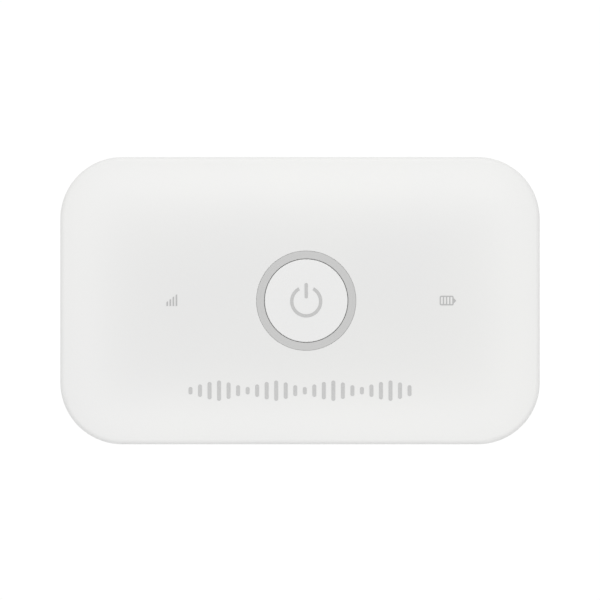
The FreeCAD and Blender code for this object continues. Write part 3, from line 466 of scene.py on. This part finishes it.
def cushion(bm):
    outer = (cushion_hi[0] - cushion_lo[0]) / 2
    middle, half_width = (outer + CUSHION_INNER) / 2, (outer - CUSHION_INNER) / 2
    rising = range(CUSHION_STEPS + 1)
    profile = []
    for side, steps in ((1, rising), (-1, reversed(rising))):
        for k in steps:
            t = k / CUSHION_STEPS
            share = CUSHION_END_WIDTH + (1 - CUSHION_END_WIDTH) * math.sin(math.pi * t)
            z = cushion_lo[2] + (cushion_hi[2] - cushion_lo[2]) * t
            profile.append((middle + side * half_width * share, z))
    turned(bm, BUTTON_X, BUTTON_Y, profile)


ring = mesh_piece("button_cushion_ring", "case", "silicone", cushion, smooth=True)
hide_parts("button_cushion")
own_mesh(ring)

# ------------------------------------------------------------------ printed marks
# blank bars standing for text, on the undersides of the battery sleeve and the label
PRINT_PROUD = 0.00002
PRINT_THICKNESS = 0.00003
# length, height of each bar in mm, from the highest y down
SLEEVE_BARS = ((22, 1.6), (30, 0.7), (26, 0.7), (30, 0.7), (18, 0.7))
LABEL_BARS = ((20, 1.4), (38, 0.6), (34, 0.6), (38, 0.6), (30, 0.6), (36, 0.6))
# battery outline: x from the sleeve's centre, y, width, height in mm
BATTERY_OUTLINE = (
    (12, -11.5, 9, 0.5), (12, -15.5, 9, 0.5),
    (7.75, -13.5, 0.5, 4.5), (16.25, -13.5, 0.5, 4.5), (16.95, -13.5, 0.9, 1.8),
)
OUTLINE_CORNER = 0.0001


def text_bars(bm, centre_x, centre_y, z, bars, first_y, pitch, heading_gap=0.0):
    """Bars sharing their low-x end; first_y, pitch and heading_gap are in mm."""
    longest = max(length for length, _ in bars)
    for k, (length, height) in enumerate(bars):
        x = centre_x - (longest - length) / 2 * MM
        y = centre_y + (first_y - k * pitch - (heading_gap if k else 0)) * MM
        radius = height * MM * 0.45
        slab(bm, x, y, z, length * MM, height * MM, PRINT_THICKNESS, radius)


def sleeve_marks(bm):
    lo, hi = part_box("battery_wrap")
    centre_x, z = (lo[0] + hi[0]) / 2, lo[2] - PRINT_PROUD
    text_bars(bm, centre_x, 0.0, z, SLEEVE_BARS, first_y=8.0, pitch=2.6, heading_gap=1.0)
    for x, y, width, height in BATTERY_OUTLINE:
        slab(bm, centre_x + x * MM, y * MM, z, width * MM, height * MM,
             PRINT_THICKNESS, OUTLINE_CORNER)


def label_marks(bm):
    lo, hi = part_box("rating_label")
    centre_x, centre_y = (lo[0] + hi[0]) / 2, (lo[1] + hi[1]) / 2
    z = lo[2] - PRINT_PROUD
    text_bars(bm, centre_x, centre_y, z, LABEL_BARS, first_y=10.0, pitch=2.8)


mesh_piece("battery_sleeve_print", "battery", "print_grey", sleeve_marks)
mesh_piece("rating_label_print", "case", "print_grey", label_marks)

# ------------------------------------------------------------------ solder joints
SOLDERED_CHIPS = (
    "modem_chip", "memory_chip", "rf_transceiver_chip", "power_management_chip", "wifi_chip",
)
JOINTS_PER_SIDE = 10
JOINT_HALF_SHARE = 0.28  # half a joint's length, as a share of the joint pitch
JOINT_OFFSET = 0.00018  # from the chip's edge to the bead's centre line
JOINT_RADIUS = 0.00012


def solder(bm):
    board_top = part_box("main_board")[1][2]
    for chip in SOLDERED_CHIPS:
        lo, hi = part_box(chip)
        size_x, size_y = hi[0] - lo[0], hi[1] - lo[1]
        half_x = size_x / JOINTS_PER_SIDE * JOINT_HALF_SHARE
        half_y = size_y / JOINTS_PER_SIDE * JOINT_HALF_SHARE
        for k in range(JOINTS_PER_SIDE):
            t = (k + 0.5) / JOINTS_PER_SIDE
            x, y = lo[0] + size_x * t, lo[1] + size_y * t
            for side_y in (lo[1] - JOINT_OFFSET, hi[1] + JOINT_OFFSET):
                bead(bm, (x - half_x, side_y), (x + half_x, side_y), board_top, JOINT_RADIUS)
            for side_x in (lo[0] - JOINT_OFFSET, hi[0] + JOINT_OFFSET):
                bead(bm, (side_x, y - half_y), (side_x, y + half_y), board_top, JOINT_RADIUS)


mesh_piece("solder_joints", "case", "tinned_sheet", solder)

# ------------------------------------------------------------------ shading of the CAD pieces
SHARP_ANGLE = 32  # degrees; edges that turn further stay crisp


def shade_smooth(mesh):
    mesh.polygons.foreach_set("use_smooth", [True] * len(mesh.polygons))
    limit = math.cos(math.radians(SHARP_ANGLE))
    bm = bmesh.new()
    bm.from_mesh(mesh)
    sharp = []
    for edge in bm.edges:
        faces = edge.link_faces
        sharp.append(len(faces) != 2 or faces[0].normal.dot(faces[1].normal) < limit)
    bm.free()
    mesh.edges.foreach_set("use_edge_sharp", sharp)


for obj in list(bpy.data.objects):
    if obj.type == "MESH" and obj.get("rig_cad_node"):
        shade_smooth(obj.data)

# ------------------------------------------------------------------ floor
FLOOR_HALF = 6.0
FLOOR_Z = -0.00004


def floor_material():
    material = bpy.data.materials.new("white_sweep")
    material.use_nodes = True
    g = Graph(material.node_tree)
    g.tree.nodes.clear()
    diffuse = g.node("BsdfDiffuse", {"Color": (0.93, 0.93, 0.93, 1)})
    emission = g.node("Emission", {"Strength": 1.02})
    clear = g.node("BsdfTransparent")
    ray = g.node("LightPath").outputs
    geometry = g.node("NewGeometry").outputs
    facing = g.node("LayerWeight", {"Blend": 0.5}).outputs["Facing"]
    # glows white where seen square on or far out; at a slant near the object it is lit
    smooth = {"interpolation_type": "SMOOTHSTEP"}
    square_on = g.remap(facing, span=(0.06, 0.16), to=(1.0, 0.0), **smooth)
    reach = g.node("VectorMath", {0: geometry["Position"]}, operation="LENGTH").outputs["Value"]
    far = g.remap(reach, span=(0.06, 0.30), to=(0.45, 1.0), **smooth)
    glow = g.math("MAXIMUM", square_on, far)
    glow = g.math("MULTIPLY", glow, ray["Is Camera Ray"])
    sweep = g.node("MixShader", {0: glow, 1: diffuse.outputs[0], 2: emission.outputs[0]})
    # clear from below and to faces resting on it, so that the underside is lit
    contact = 0.0012
    touching = g.math("LESS_THAN", ray["Ray Length"], contact)
    near = g.math("MULTIPLY", touching, g.math("SUBTRACT", 1.0, ray["Is Camera Ray"]))
    see_through = g.math("MAXIMUM", geometry["Backfacing"], near)
    surface = g.node("MixShader", {0: see_through, 1: sweep.outputs[0], 2: clear.outputs[0]})
    g.node("OutputMaterial", {0: surface.outputs[0]})
    return material


def add_floor():
    mesh = bpy.data.meshes.new("studio_floor")
    bm = bmesh.new()
    corners = ((-1, -1), (1, -1), (1, 1), (-1, 1))
    bm.faces.new([bm.verts.new((x * FLOOR_HALF, y * FLOOR_HALF, FLOOR_Z)) for x, y in corners])
    bm.to_mesh(mesh)
    bm.free()
    floor = bpy.data.objects.new("studio_floor", mesh)
    bpy.context.scene.collection.objects.link(floor)
    floor.parent = bodies["rear_cover"]
    mesh.materials.append(floor_material())


add_floor()

# ------------------------------------------------------------------ world
# strengths straight up, at the horizon and below it; LEAN brightens the horizon towards +Y
ZENITH, HORIZON, LEAN, UNDER = 0.91, 0.52, 0.42, 0.80
CLIMB = 2.2  # how fast the horizon gives way to the zenith
UNDER_START = -0.05  # direction z below which UNDER holds
SEEN_STRENGTH = 1.0  # what the camera sees


def add_world():
    world = bpy.data.worlds.new("studio")
    bpy.context.scene.world = world
    world.use_nodes = True
    g = Graph(world.node_tree)

    def crossfade(base, over, factor):
        base = g.math("MULTIPLY", base, g.math("SUBTRACT", 1.0, factor))
        return g.math("ADD", base, g.math("MULTIPLY", factor, over))

    generated = g.node("TexCoord").outputs["Generated"]
    direction = g.node("SeparateXYZ", {0: generated}).outputs
    up = g.math("MULTIPLY", direction["Z"], CLIMB, clamp=True)
    low = g.math("ADD", g.math("MULTIPLY", direction["Y"], LEAN), HORIZON)
    dome = crossfade(low, ZENITH, up)
    below = g.math("LESS_THAN", direction["Z"], UNDER_START)
    dome = crossfade(dome, UNDER, below)
    seen = g.math("MULTIPLY", g.node("LightPath").outputs["Is Camera Ray"], 1.0)
    background = g.tree.nodes["Background"].inputs
    background["Color"].default_value = (1, 1, 1, 1)
    g.put(background["Strength"], crossfade(dome, SEEN_STRENGTH, seen))


add_world()


# ------------------------------------------------------------------ lights
def softbox(name, place, size, watts, aim=None):
    """Rectangular light; it shines straight down unless given a point to aim at."""
    light = bpy.data.lights.new(name, "AREA")
    light.shape = "RECTANGLE"
    light.size, light.size_y = size
    light.energy = watts
    obj = bpy.data.objects.new(name, light)
    bpy.context.scene.collection.objects.link(obj)
    obj.location = place
    if aim:
        toward = Vector(aim) - Vector(place)
        obj.rotation_euler = toward.to_track_quat("-Z", "Y").to_euler()
    return light


warm = softbox("top_softbox", place=(0.0, 0.20, 0.16), size=(0.34, 0.16), watts=0.08,
               aim=(0, 0.01, 0.01))
warm.color = (1.0, 0.995, 0.955)
softbox("bottom_softbox", place=(0.02, -0.30, 0.26), size=(0.30, 0.16), watts=0.07,
        aim=(0, -0.01, 0.01))

# slim strips just above the rim lift the edges of the front face and spare the side walls
STRIP_INSET, STRIP_RISE = 0.0042, 0.010
STRIP_WIDTH, LONG_STRIP, SHORT_STRIP = 0.007, 0.088, 0.046
strip_x, strip_y = HALF_X - STRIP_INSET, HALF_Y - STRIP_INSET
# name, x, y, size in x and y, watts
STRIPS = (
    ("strip_top", 0, strip_y, (LONG_STRIP, STRIP_WIDTH), 0.00058),
    ("strip_bottom", 0, -strip_y, (LONG_STRIP, STRIP_WIDTH), 0.00048),
    ("strip_left", -strip_x, 0, (STRIP_WIDTH, SHORT_STRIP), 0.00020),
    ("strip_right", strip_x, 0, (STRIP_WIDTH, SHORT_STRIP), 0.00020),
)
for name, x, y, size, watts in STRIPS:
    softbox(name, place=(x, y, FRONT_Z + STRIP_RISE), size=size, watts=watts)

for obj in bpy.context.scene.objects:
    if obj.type == "LIGHT":
        obj.visible_camera = False

# ------------------------------------------------------------------ camera, looking straight down
LENS, SENSOR = 200.0, 36.0  # mm
VIEW_WIDTH = 0.1212  # width in view at VIEW_Z
VIEW_Y, VIEW_Z = 0.0001313, 0.0115

camera_data = bpy.data.cameras.new("camera")
camera_data.lens = LENS
camera_data.sensor_width = SENSOR
camera_data.clip_start = 0.01
camera_data.clip_end = 20.0
camera = bpy.data.objects.new("camera", camera_data)
bpy.context.scene.collection.objects.link(camera)
camera.location = (0.0, VIEW_Y, VIEW_Z + LENS / SENSOR * VIEW_WIDTH)
bpy.context.scene.camera = camera
bpy.context.scene.view_settings.view_transform = "Standard"
bpy.context.scene.view_settings.look = "None"
